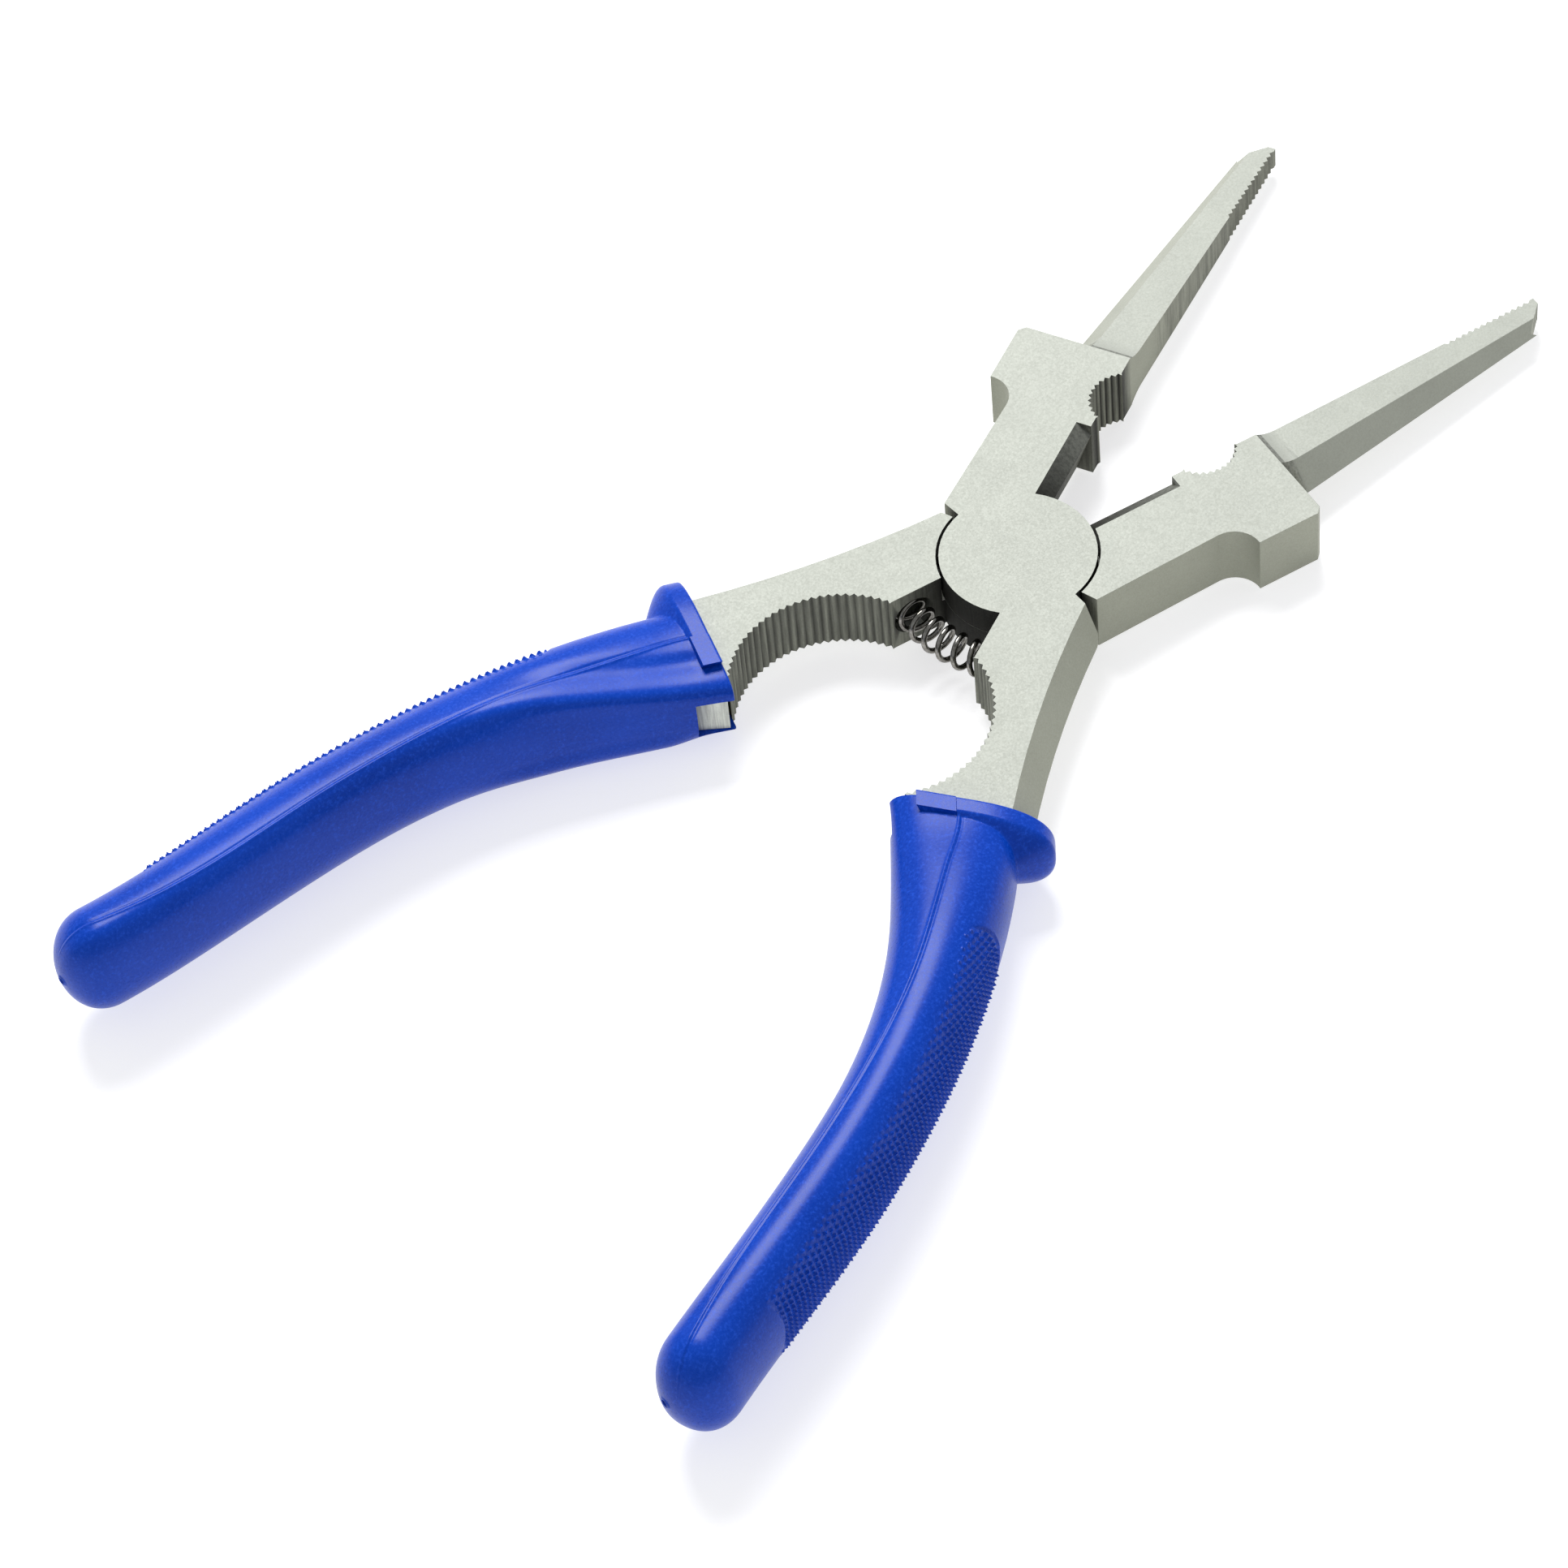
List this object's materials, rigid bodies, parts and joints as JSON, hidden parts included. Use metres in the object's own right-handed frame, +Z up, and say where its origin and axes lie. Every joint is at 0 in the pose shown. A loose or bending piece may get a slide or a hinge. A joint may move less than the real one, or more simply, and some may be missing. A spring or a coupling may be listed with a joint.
{
  "type": "welding pliers",
  "caption": "Spring-loaded welding pliers with long serrated nose, hammer blocks, nozzle hollow and moulded grips.",
  "frame": {"origin": "pivot axis at the underside of the joint", "axes": "+X from the pivot towards the nose tips, midway between the jaws; +Y towards the upper lever's jaw; +Z up along the pivot axis"},
  "size_m": [0.2077, 0.1153, 0.0165],
  "materials": {
    "forged_steel": "satin, fine bead-blasted forging with ground flats",
    "rivet_steel": "ground flush with the lap",
    "spring_steel": "dark polished wire",
    "grip_plastic": "glossy moulded vinyl with a fine grain and diamond knurl"
  },
  "bodies": {
    "lower_half": {"lower_lever_forging": "forged_steel", "lower_lever_grip": "grip_plastic", "return_spring": "spring_steel"},
    "upper_half": {"upper_lever_forging": "forged_steel", "upper_lever_grip": "grip_plastic", "pivot_rivet": "rivet_steel"}
  },
  "joints": [
    {"name": "plier_pivot", "type": "hinge", "parent": "lower_half", "child": "upper_half", "pos_m": [0, 0, 0.00465], "axis": [0, 0, -1], "range_deg": [-4, 31], "stiffness_Nm_per_rad": 1.1, "deforming": ["return_spring"]}
  ]
}
